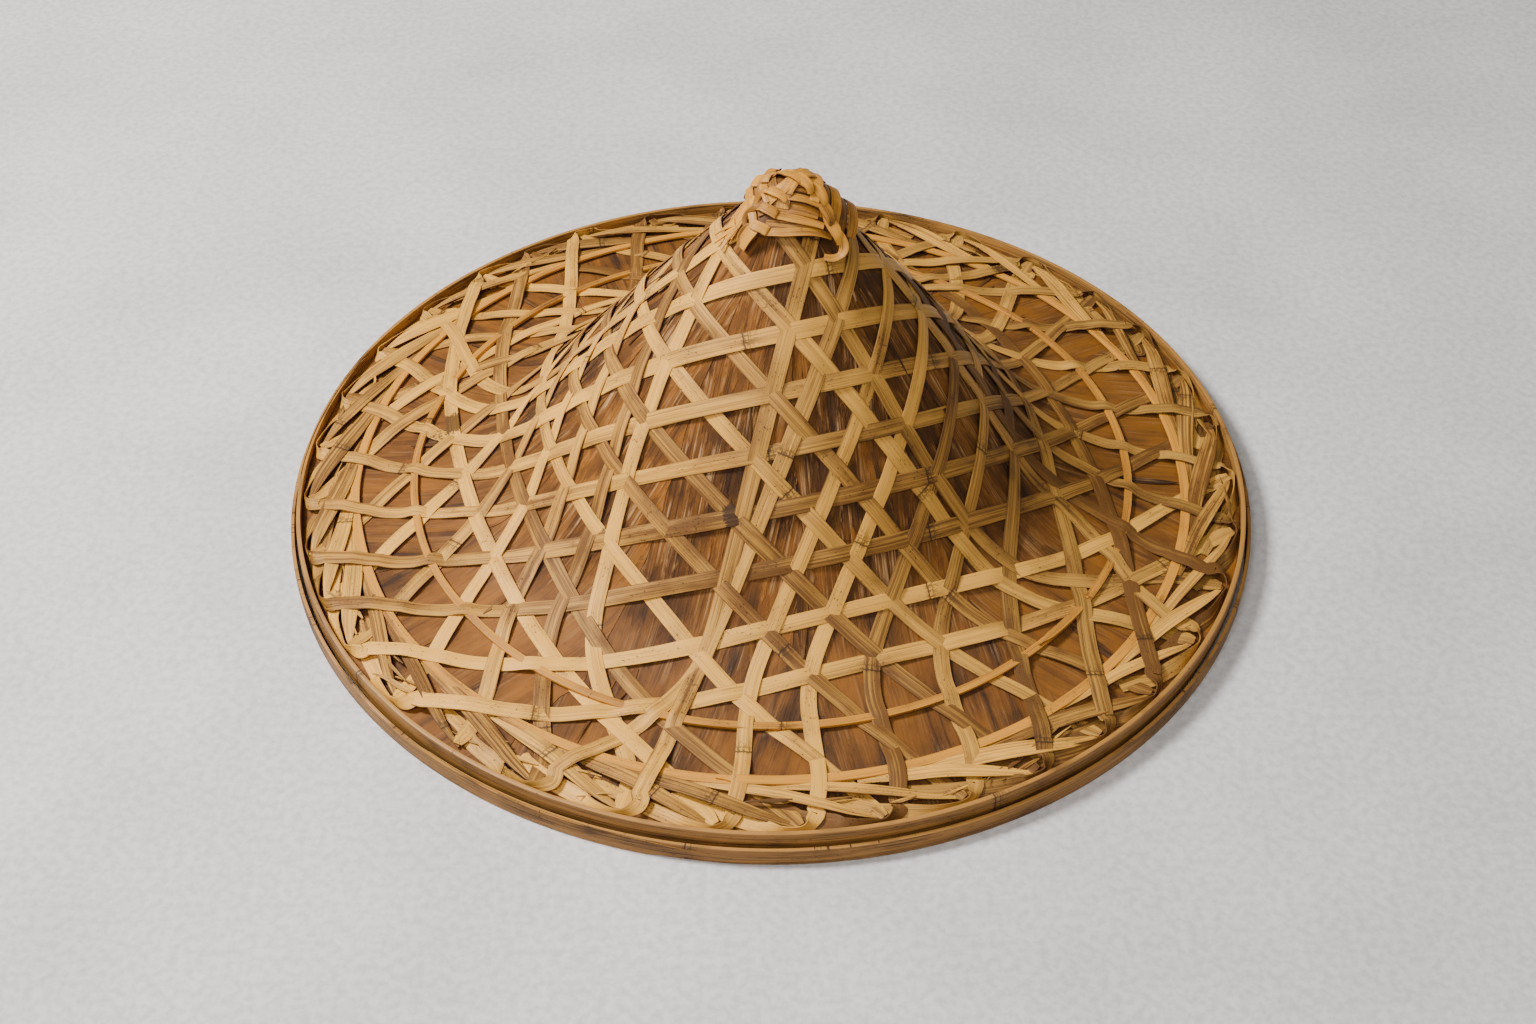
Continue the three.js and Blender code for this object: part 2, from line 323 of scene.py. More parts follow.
def crossings(paths):
    """Where each strip crosses the others: both are read as radius over azimuth on one
    fine grid, and they cross where the difference of their radii changes sign. The crown
    is laid out flat by two thirds, so a quarter turn becomes 60 degrees. Of two strips, the
    one whose direction then lies less than a right angle further on passes over."""
    grid = np.arange(0, 360, 0.2)
    rows = []
    for p in paths:
        low, high = p["azimuth"].min(), p["azimuth"].max()
        at = low + (grid - low) % 360
        ok = at <= high
        rows.append([np.where(ok, np.interp(at, p["azimuth"], p[k]), np.nan)
                     for k in ("r", "along")] + [at - p["foot"]])
    radius, along, turn = (np.array([row[k] for row in rows]) for k in range(3))
    sides = np.array([p["side"] for p in paths])
    found = []
    for i in range(len(paths)):
        gap = radius - radius[i]
        with np.errstate(invalid="ignore"):
            change = (gap[:, 1:] * gap[:, :-1] < 0) & (sides != sides[i])[:, None]
        j, n = np.nonzero(change)
        share = gap[j, n] / (gap[j, n] - gap[j, n + 1])
        s = along[i, n] + share * (along[i, n + 1] - along[i, n])
        lead = (-(turn[i, n] - turn[j, n]) * 2 / 3) % 180
        found.append((s, radius[i, n], np.where(lead < 90, 1.0, -1.0)))
    return found


def eased(at, places, values, flat):
    """Goes through each value at its place, stays there for `flat` on both sides, or for
    0.4 of the way to the next place, and changes evenly in between."""
    order = np.argsort(places)
    places, values = np.asarray(places, float)[order], np.asarray(values, float)[order]
    gaps = np.diff(places)
    before = np.minimum(flat, 0.4 * np.concatenate([[1e3], gaps]))
    after = np.minimum(flat, 0.4 * np.concatenate([gaps, [1e3]]))
    knots = np.stack([places - before, places + after], 1).ravel()
    height = np.interp(at, knots, np.repeat(values, 2))
    kernel = np.hanning(9)[1:-1]
    padded = np.pad(height, 3, mode="edge")
    return np.convolve(padded, kernel / kernel.sum(), mode="valid")


def weave_paths():
    """All the strips: for each its way over the crown and brim, bent to the folds, with the
    distance along it measured on the surface."""
    paths = []
    for side, foot in SIDE_AZIMUTH.items():
        for order, closest in enumerate(closest_places()):
            t, r, azimuth = free_path(closest, foot)
            paths.append({"side": side, "order": order, "foot": foot, "t": t, "r": r,
                          "azimuth": azimuth})
    bend_to_folds(paths)
    for p in paths:
        p["along"] = lengths(on_hat(p["r"], p["azimuth"], 0.0))
    return paths


# Materials.

def colour(red, green, blue):
    """A colour picked on a screen, 0 to 255, as the linear light that shaders use."""
    c = np.array([red, green, blue]) / 255
    return (*np.where(c < 0.04045, c / 12.92, ((c + 0.055) / 1.055) ** 2.4).tolist(), 1.0)


def put(tree, kind, inputs=None, **settings):
    """Adds a node to a tree. Inputs are given by name or number: a socket is linked, and
    anything else becomes the input's value."""
    node = tree.nodes.new(kind)
    count = len(tree.nodes) - 1
    node.location = (count % 8 * 190, -(count // 8) * 320)
    for key, value in settings.items():
        setattr(node, key, value)
    for key, value in (inputs or {}).items():
        if isinstance(value, bpy.types.NodeSocket):
            tree.links.new(value, node.inputs[key])
        else:
            node.inputs[key].default_value = value
    return node


def maths(tree, operation, a, b=0.0, clamp=False):
    return put(tree, "ShaderNodeMath", {0: a, 1: b}, operation=operation,
               use_clamp=clamp).outputs[0]


def plus(tree, a, b, clamp=False):
    return maths(tree, "ADD", a, b, clamp)


def minus(tree, a, b):
    return maths(tree, "SUBTRACT", a, b)


def times(tree, a, b, clamp=False):
    return maths(tree, "MULTIPLY", a, b, clamp)


def blend(tree, share, a, b, kind="MIX"):
    """Mixes colour a with colour b by the share."""
    return put(tree, "ShaderNodeMix", {0: share, 6: a, 7: b}, data_type="RGBA",
               blend_type=kind, clamp_factor=True).outputs[2]


def remap(tree, value, low, high, to_low=0.0, to_high=1.0):
    """Stretches the range from low to high over the new range, and keeps within it."""
    return put(tree, "ShaderNodeMapRange", {0: value, 1: low, 2: high, 3: to_low, 4: to_high},
               clamp=True).outputs[0]


def stretched_noise(tree, place, across, along, detail=3.0, shift=0.0):
    """Noise that is drawn out: `across` and `along` are its waves per metre."""
    spot = put(tree, "ShaderNodeMapping", {0: place, 1: (shift, shift * 1.7, 0),
                                           3: (across, along, 1.0)}).outputs[0]
    return put(tree, "ShaderNodeTexNoise", {"Vector": spot, "Scale": 1.0, "Detail": detail,
                                            "Roughness": 0.6}).outputs[0]


def group(name, inputs, outputs):
    """An empty shader group with its sockets: name to (socket kind, default)."""
    tree = bpy.data.node_groups.new(name, "ShaderNodeTree")
    for key, (kind, value) in inputs.items():
        socket = tree.interface.new_socket(key, in_out="INPUT", socket_type=kind)
        socket.default_value = value
    for key, kind in outputs.items():
        tree.interface.new_socket(key, in_out="OUTPUT", socket_type=kind)
    return tree, put(tree, "NodeGroupInput"), put(tree, "NodeGroupOutput")


FLOAT, COLOUR = "NodeSocketFloat", "NodeSocketColor"


def attribute(tree, name):
    return put(tree, "ShaderNodeAttribute", attribute_name=name,
               attribute_type="GEOMETRY").outputs["Fac"]


def bamboo_group():
    """Split bamboo: fine lengthwise fibres, wide bands of tone, ribs, clustered dark specks,
    and a node mark every 31 cm. It reads the strip's own UV: across and along, in metres."""
    tree, given, out = group("Split bamboo", {
        "Straw": (COLOUR, colour(205, 170, 118)), "Brown": (COLOUR, colour(122, 84, 48)),
        "Fibre": (FLOAT, 0.5), "Ribs": (FLOAT, 0.0), "Specks": (FLOAT, 0.5),
        "Roughness": (FLOAT, 0.5)},
        {"Colour": COLOUR, "Roughness": FLOAT, "Height": FLOAT})
    uv = put(tree, "ShaderNodeUVMap", uv_map="UVMap").outputs[0]
    tone = attribute(tree, "tone")
    age = attribute(tree, "age")
    across, along, _ = put(tree, "ShaderNodeSeparateXYZ", {0: uv}).outputs
    fine = stretched_noise(tree, uv, 2400, 26)
    streaks = stretched_noise(tree, uv, 800, 9, 2, 5.1)
    bands = stretched_noise(tree, uv, 330, 6, 2, 3.1)
    clouds = stretched_noise(tree, uv, 60, 22, 3, 7.7)
    flecks = stretched_noise(tree, uv, 1300, 520, 1, 1.3)
    # shade: from 0, the pale straw, to 1, the brown one
    shade = times(tree, remap(tree, bands, 0.42, 0.7), 0.4)
    for value, low, high, weight in ((clouds, 0.48, 0.72, 0.45), (streaks, 0.45, 0.7, 0.35)):
        shade = plus(tree, shade, times(tree, remap(tree, value, low, high), weight))
    # the tone brings each piece's own tone and the painted shade laid into it
    shade = plus(tree, shade, times(tree, tone, 0.34))
    lines = times(tree, remap(tree, fine, 0.5, 0.7), given.outputs["Fibre"])
    rib = maths(tree, "SINE", plus(tree, times(tree, across, 3300.0), times(tree, bands, 6.0)))
    ribs = times(tree, remap(tree, rib, -0.2, 0.9), given.outputs["Ribs"])
    shade = plus(tree, shade, maths(tree, "MAXIMUM", lines, ribs), True)
    tint = blend(tree, shade, given.outputs["Straw"], given.outputs["Brown"])
    # the age greys the colour: wear, and on the strips' right hand half painted shade as well
    grey = blend(tree, 1.0, tint, colour(192, 197, 216), "MULTIPLY")
    tint = blend(tree, times(tree, age, 0.8, True), tint, grey)
    # the node of the cane: a thin dark line, and a stain that fades to one side of it
    wobble = times(tree, minus(tree, streaks, 0.5), 0.0012)
    turn = times(tree, plus(tree, along, wobble), 1 / 0.31)
    place = minus(tree, maths(tree, "FRACT", turn), 0.5)
    line = remap(tree, maths(tree, "ABSOLUTE", place), 0.0008, 0.0018, 1.0, 0.0)
    second = remap(tree, maths(tree, "ABSOLUTE", minus(tree, place, 0.0075)),
                   0.0005, 0.0013, 0.7, 0.0)
    stain = times(tree, remap(tree, place, 0.028, 0.004, 0.0, 1.0),
                  remap(tree, place, -0.006, 0.0, 0.0, 1.0))
    near = times(tree, stain, remap(tree, plus(tree, flecks, times(tree, streaks, 0.6)),
                                    0.74, 0.86))
    # dark specks, crowded where the clouds are thick
    level = plus(tree, flecks, times(tree, clouds, 0.45))
    level = plus(tree, level, times(tree, given.outputs["Specks"], 0.06))
    specks = remap(tree, level, 0.95, 0.99)
    marks = maths(tree, "MAXIMUM", maths(tree, "MAXIMUM", line, second),
                  maths(tree, "MAXIMUM", times(tree, near, 0.8), specks), True)
    # charred nodes, black with pale flecks left in them
    burnt = plus(tree, times(tree, attribute(tree, "char"), 1.4),
                 times(tree, minus(tree, flecks, 0.5), 1.2))
    marks = maths(tree, "MAXIMUM", marks, remap(tree, burnt, 0.42, 0.6))
    tint = blend(tree, times(tree, marks, 0.85), tint, colour(44, 25, 12))
    tree.links.new(tint, out.inputs["Colour"])
    rough = plus(tree, given.outputs["Roughness"], times(tree, shade, 0.15))
    tree.links.new(rough, out.inputs["Roughness"])
    height = plus(tree, times(tree, fine, 0.5), times(tree, streaks, 0.8))
    height = minus(tree, height, times(tree, ribs, 0.6))
    height = minus(tree, height, times(tree, marks, 0.3))
    tree.links.new(height, out.inputs["Height"])
    return tree


def sheath_group():
    """Bamboo sheath: torn grey and brown fibres on the crown, smooth ochre skin on the brim.
    It reads the sheath's own UV, whose second axis runs with the fibres, and the attributes `down`,
    which goes from 0 at the point to 1 at the rim, `tone` (darker, with painted shade in it) and `age`
    (duller)."""
    tree, given, out = group("Bamboo sheath", {
        "Ochre": (COLOUR, colour(176, 124, 66)), "Brown": (COLOUR, colour(52, 30, 12)),
        "Grey": (COLOUR, colour(168, 128, 84))},
        {"Colour": COLOUR, "Roughness": FLOAT, "Height": FLOAT})
    uv = put(tree, "ShaderNodeUVMap", uv_map="UVMap").outputs[0]
    down = attribute(tree, "down")
    tone = attribute(tree, "tone")
    fibres = stretched_noise(tree, uv, 850, 22, 4)
    bands = stretched_noise(tree, uv, 210, 9, 3, 2.2)
    clouds = stretched_noise(tree, uv, 40, 20, 4, 5.9)
    tears = stretched_noise(tree, uv, 120, 34, 5, 9.4)
    spots = stretched_noise(tree, uv, 900, 700, 1, 4.2)
    ragged = plus(tree, remap(tree, down, 0.45, 0.66, 0.95, 0.2), minus(tree, clouds, 0.5), True)
    dark = plus(tree, remap(tree, clouds, 0.36, 0.66, 0.0, 0.8), times(tree, tone, 0.35))
    dark = plus(tree, dark, times(tree, remap(tree, bands, 0.5, 0.7), 0.5), True)
    tint = blend(tree, dark, given.outputs["Ochre"], given.outputs["Brown"])
    dull = blend(tree, 1.0, tint, colour(214, 222, 240), "MULTIPLY")
    tint = blend(tree, attribute(tree, "age"), tint, dull)
    torn = times(tree, remap(tree, tears, 0.5, 0.56), ragged)
    tint = blend(tree, times(tree, torn, 0.55), tint, given.outputs["Brown"])
    pale = times(tree, remap(tree, fibres, 0.5, 0.62), remap(tree, tears, 0.52, 0.4))
    tint = blend(tree, times(tree, pale, ragged), tint, given.outputs["Grey"])
    cracks = times(tree, remap(tree, fibres, 0.44, 0.34),
                   remap(tree, ragged, 0.0, 1.0, 0.35, 1.0))
    tint = blend(tree, times(tree, cracks, 0.7), tint, colour(36, 19, 8))
    dots = remap(tree, plus(tree, spots, times(tree, clouds, 0.3)), 0.86, 0.9)
    tint = blend(tree, times(tree, dots, 0.6), tint, colour(40, 22, 10))
    tree.links.new(tint, out.inputs["Colour"])
    tree.links.new(remap(tree, ragged, 0.0, 1.0, 0.6, 0.85), out.inputs["Roughness"])
    height = plus(tree, times(tree, fibres, ragged), times(tree, bands, 0.6))
    height = minus(tree, height, times(tree, torn, 0.5))
    tree.links.new(height, out.inputs["Height"])
    return tree


def finish(name, effect, values, relief, coat=0.0):
    """A material whose colour, roughness and relief come from a shader group."""
    material = bpy.data.materials.new(name)
    material.use_nodes = True
    tree = material.node_tree
    tree.nodes.clear()
    used = put(tree, "ShaderNodeGroup", node_tree=effect)
    for key, value in values.items():
        used.inputs[key].default_value = value
    bump = put(tree, "ShaderNodeBump", {"Height": used.outputs["Height"], "Strength": 1.0,
                                        "Distance": relief * MM})
    shader = put(tree, "ShaderNodeBsdfPrincipled", {
        "Base Color": used.outputs["Colour"], "Roughness": used.outputs["Roughness"],
        "Normal": bump.outputs[0], "Coat Weight": coat, "Coat Roughness": 0.35,
        "IOR": 1.45, "Specular IOR Level": 0.28})
    put(tree, "ShaderNodeOutputMaterial", {0: shader.outputs[0]})
    return material


def finished(made, material, slot, *nodes):
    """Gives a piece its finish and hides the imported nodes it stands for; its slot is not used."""
    made.data.materials.append(material)
    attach(made, "root")
    if nodes:
        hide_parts(*nodes)


def library(kind):
    """The shared shader group of a kind, made when it is first asked for."""
    makers = {"Split bamboo": bamboo_group, "Bamboo sheath": sheath_group}
    return bpy.data.node_groups.get(kind) or makers[kind]()


# What a user may change.

class HatSizes(bpy.types.PropertyGroup):
    strip_width: bpy.props.FloatProperty(
        name="Strip width", description="Width of the woven strips", default=7.5 * MM,
        min=3 * MM, max=12 * MM, unit="LENGTH")
    strip_thickness: bpy.props.FloatProperty(
        name="Strip thickness", description="Thickness of the woven strips",
        default=0.55 * MM, min=0.3 * MM, max=1.5 * MM, unit="LENGTH")
    interlace: bpy.props.FloatProperty(
        name="Interlace", description="How far a strip rises over and dips under another",
        default=0.55 * MM, min=0.0, max=1.0 * MM, unit="LENGTH")


class HatColours(bpy.types.PropertyGroup):
    straw: bpy.props.FloatVectorProperty(
        name="Straw", description="Pale colour of the woven strips", subtype="COLOR", size=4,
        min=0, max=1, default=colour(222, 161, 66))
    straw_dark: bpy.props.FloatVectorProperty(
        name="Dark straw", description="Colour of the strips' darker bands", subtype="COLOR",
        size=4, min=0, max=1, default=colour(104, 66, 24))
    ochre: bpy.props.FloatVectorProperty(
        name="Sheath", description="Smooth skin of the sheath leaves", subtype="COLOR",
        size=4, min=0, max=1, default=colour(130, 78, 20))
    honey: bpy.props.FloatVectorProperty(
        name="Cane", description="Skin of the rings and hoops", subtype="COLOR", size=4,
        min=0, max=1, default=colour(202, 136, 46))


class HatStage(bpy.types.PropertyGroup):
    floor: bpy.props.FloatVectorProperty(
        name="Floor", description="Colour of the floor", subtype="COLOR", size=4, min=0,
        max=1, default=colour(206, 201, 197))
    key: bpy.props.FloatProperty(
        name="Key light", description="Power of the large soft light", default=64.0, min=0,
        unit="POWER")


# The pieces.

SHEATHS = 10            # leaves round the hat, each one's left edge over the next one
SLIVERS = 70            # torn loose from them


class HAT_OT_leaf_layer(bpy.types.Operator):
    """Lays the sheath leaves over the hollow form"""
    bl_idname = "bamboo_hat.leaf_layer"
    bl_label = "Leaf layer"

    def execute(self, context):
        grids = Grids()
        colours = context.scene.hat_colours
        rng = np.random.default_rng(SEED)
        r = 0.5 + (LEAF_EDGE - 0.5) * np.linspace(0, 1, 130) ** 0.95
        length = lengths(on_hat(r, 0 * r, 0.0)) + 0.5
        across = np.linspace(-1, 1, 31)
        for n in range(SHEATHS):
            middle = 360 / SHEATHS * n + rng.uniform(-4, 4)
            half = 26 + 1.6 * smooth_noise(rng, r, 33) + 0.4 * smooth_noise(rng, r, 6)
            turn = half[:, None] * across
            R = np.broadcast_to(r[:, None], turn.shape)
            share = (across + 1) / 2
            buckle = 0.1 * np.sin(np.radians(turn * 22) + R / 15 + n)
            buckle = buckle * np.clip((R - 8) / 30, 0, 1)
            top = on_hat(R, middle + turn, 0.05 + 0.45 * share + buckle)
            under = on_hat(R, middle + turn, -LEAF_WALL + 0.45 * share)
            # laid out flat: the distance down the slope, and the angle shrunk to match
            flat = np.radians(turn) * R / length[:, None] + rng.uniform(-0.06, 0.06)
            uv = length[:, None, None] * np.stack([np.sin(flat), np.cos(flat)], -1) * MM
            uv = uv + (0.7 * n, 0.4 * n)
            # the tone is each leaf's own and paler on the right hand brim, with painted shade on the
            # brim behind and to the left
            index = grids.add(np.concatenate([top, under[:, ::-1]], 1),
                              np.concatenate([uv, uv[:, ::-1], uv[:, :1]], 1),
                              closed_across=True, down=R[:, :1] / 235,
                              tone=rng.uniform(-0.6, 0.5) + 0.25 * shaded(top[:, :1])
                              - 0.5 * np.clip((R[:, :1] - 120) / 60, 0, 1)
                              * max(np.cos(np.radians(middle - 20)), 0),
                              age=0.2 + 0.6 * np.cos(np.radians(middle - 10)))
            edge = np.concatenate([uv, uv[:, ::-1]], 1)
            grids.close(index[0], edge[0])
            grids.close(index[-1][::-1], edge[-1, ::-1])
        # slivers that have torn loose and lift a little
        for n in range(SLIVERS):
            r, turn = 230 * rng.uniform(0.14, 0.86), rng.uniform(0, 360)
            size, swing = rng.uniform(9, 26), rng.uniform(-4, 4)
            wide = rng.uniform(1.5, 5.0)
            lift = rng.uniform(0.2, 1.2)
            table = [(r + size * t, turn + swing * t * 40 / r, 0.5 + lift * u, wide * w, 0)
                     for t, u, w in ((-0.8, 0, 0.3), (-0.3, 0, 1), (0.2, 0.3, 0.9),
                                     (0.5, 0.7, 0.6), (0.8, 1.0, 0.15))]
            lay(grids, table, 16, 0.25, rng, tone=rng.uniform(-1, 1), down=r / 235 - 0.15,
                age=0.3)
        leaf = grids.build("leaf_layer")
        material = finish("Bamboo sheath", library("Bamboo sheath"),
                          {"Ochre": colours.ochre[:]}, 0.6)
        finished(leaf, material, "leaf", "leaf_shell")
        return {"FINISHED"}


# How a strip's end lies at its fold. Azimuth is counted from the fold, in degrees; radius is
# a share of the rim's. The first kind turns on its edge and runs back along the hoop.
CURL = np.array([   # azimuth, radius, height, width share, tilt
    (1.2, 0.935, 2.9, 1.0, 0), (0.9, 0.948, 3.1, 0.9, -20), (0.3, 0.9595, 3.1, 0.72, -55),
    (-0.7, 0.966, 2.9, 0.62, -82), (-2.2, 0.9665, 2.5, 0.68, -70), (-4.4, 0.961, 2.1, 0.85, -42),
    (-6.8, 0.950, 1.7, 0.95, -20), (-9.2, 0.938, 1.4, 0.95, -8), (-13, 0.920, 1.1, 0.85, 0),
    (-16, 0.908, 1.0, 0.6, 0),
])
CURL_SWAY = (0, 0.3, 0.2, 0.3, 0.6, 1, 1, 1, 2, 3)      # of each row, degrees
CURL_LIFT = np.array([1, 0.85, 0.6, 0.35, 0.1])         # of the first rows, share
# The height of a strip's middle by its share of the rim's radius. The end that runs clockwise
# passes over the rim ring, and the other one under it.
OVER = np.array([(0.80, STRIP_BED), (0.835, 2.9), (0.862, 3.4), (0.88, 3.3), (0.90, 2.9),
                 (0.935, 2.9)])
UNDER = np.array([(0.80, STRIP_BED), (0.84, 0.95), (0.91, 0.9), (0.93, 1.4), (0.945, 2.5),
                  (0.957, 3.0)])
LOOSE_LIFT = 1.9        # how much higher the ends on the left lie, and one in four elsewhere


def wear_and_shade(centre):
    """How much wear and painted shade a place gets: the hat's right hand half is greyer and browner,
    partly from wear and partly as painted shade. It grows from -0.25 on the left to 1 on the right, as
    an S curve of x."""
    x = np.clip(centre[:, 0] / RIM * 0.62 + 0.42, 0, 1)
    return (1.25 * x * x * (3 - 2 * x) - 0.25)[:, None]


def shaded(centre):
    """How much painted shade a place on the brim gets, as if it lay in the crown's shade: 1 behind and
    to the left, and 0 on the crown and in front."""
    r = np.hypot(centre[..., 0], centre[..., 1]) / RIM
    towards = (-0.87 * centre[..., 0] + 0.5 * centre[..., 1]) / RIM / np.maximum(r, 0.1)
    return np.clip((r - 0.42) / 0.16, 0, 1) * np.clip(towards, 0, 1)


# Charred nodes: radius (share of the rim's), azimuth and size (mm).
CHARRED = ((0.694, 171.0, 8.0), (0.415, -100.5, 3.5), (0.87, 51.0, 7.0), (0.847, 25.0, 4.0))


def charred(centre):
    """How charred a place is: a bell curve of the distance in plan to each charred node."""
    total = np.zeros(len(centre))
    for share, turn, size in CHARRED:
        x, y = share * RIM * np.cos(np.radians(turn)), share * RIM * np.sin(np.radians(turn))
        away = np.hypot(centre[:, 0] - x, centre[:, 1] - y)
        total = np.maximum(total, np.exp(-(away / size) ** 2))
    return total[:, None]


def strip_tone(rng):
    """The shade of one strip: most are even, one in four is pale and one in four is dark."""
    kind = rng.uniform()
    return rng.uniform(-1.2, -0.7) if kind < 0.25 else (
        rng.uniform(0.8, 1.5) if kind > 0.76 else rng.uniform(-0.6, 0.5))


class HAT_OT_weave(bpy.types.Operator):
    """Weaves the strips over the leaf layer, each over and under the ones it crosses"""
    bl_idname = "bamboo_hat.weave"
    bl_label = "Woven strips"

    def execute(self, context):
        sizes, colours = context.scene.hat_sizes, context.scene.hat_colours
        width, thick = sizes.strip_width / MM, sizes.strip_thickness / MM
        swing = sizes.interlace / MM
        paths = weave_paths()
        found = crossings(paths)
        rng = np.random.default_rng(SEED + 1)
        made = {}
        for p, (places, radii, over) in zip(paths, found):
            s = np.linspace(0, p["along"][-1], 210)
            r, azimuth = (np.interp(s, p["along"], p[k]) for k in ("r", "azimuth"))
            places = np.concatenate([places, [0, p["along"][-1]]])
            over = np.concatenate([over, [0, 0]])
            height = STRIP_BED + swing * eased(s, places, over, 4.0)
            first = s < p["along"][-1] / 2
            outer = np.clip((r / RIM - 0.80) / 0.035, 0, 1)
            rim_height = np.where(first, np.interp(r / RIM, *OVER.T),
                                  np.interp(r / RIM, *UNDER.T))
            height = height * (1 - outer) + rim_height * outer
            fold = float(fold_azimuth(p["folds"][0]))
            left = (fold + 180) % 360 < 78
            lift = LOOSE_LIFT if left or rng.uniform() < 0.25 else 0.0
            height = height + lift * first * np.clip((r / RIM - 0.855) / 0.03, 0, 1)
            near = np.exp(-((r - INNER_RING) / 4.5) ** 2)
            height = height * (1 - near) + np.where(first, 3.2, 0.9) * near
            share = 1 - 0.45 * np.clip((r / RIM - 0.94) / 0.017, 0, 1) * ~first
            # the end that runs clockwise turns on its edge and goes back along the hoop
            keep = ~(first & (r > 0.930 * RIM))
            fold += 360 * round((azimuth[0] - fold) / 360)
            sway = rng.uniform(-1, 1, len(CURL)) * CURL_SWAY
            curl = CURL * (rng.uniform(0.9, 1.1), 1, rng.uniform(0.9, 1.1), 1, 1)
            curl[:len(CURL_LIFT), 2] += lift * CURL_LIFT
            a, q, h, w, tilt = through(curl + np.outer(sway, (1, 0, 0, 0, 0)), 60)[::-1].T
            azimuth = np.concatenate([fold + a, azimuth[keep]])
            r = np.concatenate([q * RIM, r[keep]])
            height = np.concatenate([h, height[keep]])
            share = np.concatenate([w, share[keep]])
            tilt = np.concatenate([-tilt, np.zeros(keep.sum())])
            centre = on_hat(r, azimuth, height)
            s = lengths(centre)
            tilt = tilt + 5 * smooth_noise(rng, s, 22)
            w = width * share * (1 + 0.05 * smooth_noise(rng, s, 30)) * rng.uniform(0.93, 1.07)
            # the tone is the strip's own, with painted shade on its side faces, on the brim behind and
            # to the left, and with the wear on the right hand half; the age holds that wear and
            # painted shade too
            sweep(made.setdefault(p["side"], Grids()), centre,
                  tilted(centre, normal_on_hat(r, azimuth), tilt), w, thick,
                  rng.uniform(0, PATTERN), tone=strip_tone(rng) + SIDES_PAINTED_SHADE + 0.75 * wear_and_shade(centre)
                  + 0.7 * shaded(centre)[:, None] + 0.5 * smooth_noise(rng, s, 45)[:, None],
                  age=0.1 + 0.8 * wear_and_shade(centre) * rng.uniform(0.4, 1.2),
                  char=charred(centre))
        material = finish("Woven straw strips", library("Split bamboo"), {
            "Straw": colours.straw[:], "Brown": colours.straw_dark[:]}, 0.12)
        for side, grids in made.items():
            finished(grids.build("strips_" + side), material, "strip", "outer_weave")
        return {"FINISHED"}


SPLINT = [      # azimuth from its fold, radius share, height, width, tilt
    (-0.6, 0.959, 1.8, 1.4, 0), (-2.2, 0.950, 2.7, 3.4, 6), (-4.6, 0.936, 3.7, 6.2, 9),
    (-7.4, 0.918, 4.2, 8.0, 10), (-10.4, 0.901, 4.1, 8.6, 8), (-13.4, 0.888, 3.4, 8.2, 4),
    (-16.4, 0.880, 2.6, 7.2, 0), (-19.8, 0.875, 2.0, 5.4, 0), (-23.5, 0.872, 1.5, 2.5, 0),
]
LOOSE_ENDS = 60         # thin ones, between the splints and the hoop


class HAT_OT_splints(bpy.types.Operator):
    """Lays the splints that run along the rim from fold to fold"""
    bl_idname = "bamboo_hat.splints"
    bl_label = "Rim splints"

    def execute(self, context):
        colours = context.scene.hat_colours
        rng = np.random.default_rng(SEED + 4)
        grids = Grids()
        for n in range(FOLDS):
            stretch, out = rng.uniform(0.88, 1.12), rng.normal(0, 0.0015)
            wide = rng.uniform(0.62, 1.08)
            table = [((q + out) * RIM, fold_azimuth(n) + a * (1 if a > -3 else stretch),
                      h + rng.uniform(-0.1, 0.1), w * wide, t) for a, q, h, w, t in SPLINT]
            lay(grids, table, 90, 0.6, rng, tone=rng.uniform(-1.4, 1.2),
                age=rng.uniform(0, 0.4))
        for n in range(LOOSE_ENDS):
            turn, reach, bend = rng.uniform(0, 360), rng.uniform(2.5, 7), rng.uniform(-1, 1)
            out, up, wide = rng.uniform(0.90, 0.945), rng.uniform(1.4, 4.2), rng.uniform(0.8, 2.6)
            table = [((out + 0.02 * bend * t * t + 0.006 * t) * RIM, turn - reach * t,
                      up + rng.uniform(-0.3, 1.2), wide * w, rng.uniform(-25, 25))
                     for t, w in ((0, 0.3), (0.35, 1), (0.7, 0.8), (1, 0.2))]
            lay(grids, table, 20, 0.35, rng, tone=rng.uniform(-1.2, 1.6), age=rng.uniform(0, 1))
        material = finish("Ribbed splints", library("Split bamboo"), {
            "Straw": colours.straw[:], "Brown": colours.straw_dark[:], "Fibre": 0.7,
            "Ribs": 0.35, "Specks": 0.2}, 0.3)
        finished(grids.build("rim_splints_bundle"), material, "strip", "rim_splints")
        return {"FINISHED"}


# The cap: its ridges' azimuths, and for the faces the azimuth they look to, how far the first
# slat lies from the point in plan, the step to the next ones (mm) and their number.
RIDGES = (-126, -40, 50, 140)
FACES = ((5, 4.0, 3.9, 6), (95, 3.6, 3.0, 5), (-173, 3.6, 3.0, 4))
# The slats of the front face, from the point down: three places each (ahead of the point and
# to the left, mm), the width, and 1 for one that lies on top.
FRONT = ((-83, ((3.0, -1.5), (3.6, 1.5), (5.0, 5.0)), 4.5, 0),
         (-83, ((5.9, -1.8), (7.2, 2.4), (9.2, 8.5)), 4.0, 1),
         (-83, ((8.4, -5.4), (10.2, 1.2), (11.9, 9.1)), 5.6, 0),
         (-83, ((11.2, -6.0), (13.7, 1.7), (15.0, 10.8)), 4.3, 1),
         (-83, ((13.0, -9.1), (15.5, -0.8), (16.0, 11.2)), 4.8, 0),
         (-83, ((15.6, -9.6), (17.4, -0.7), (17.0, 14.4)), 4.0, 1))
KNOT_STEP = 5.7


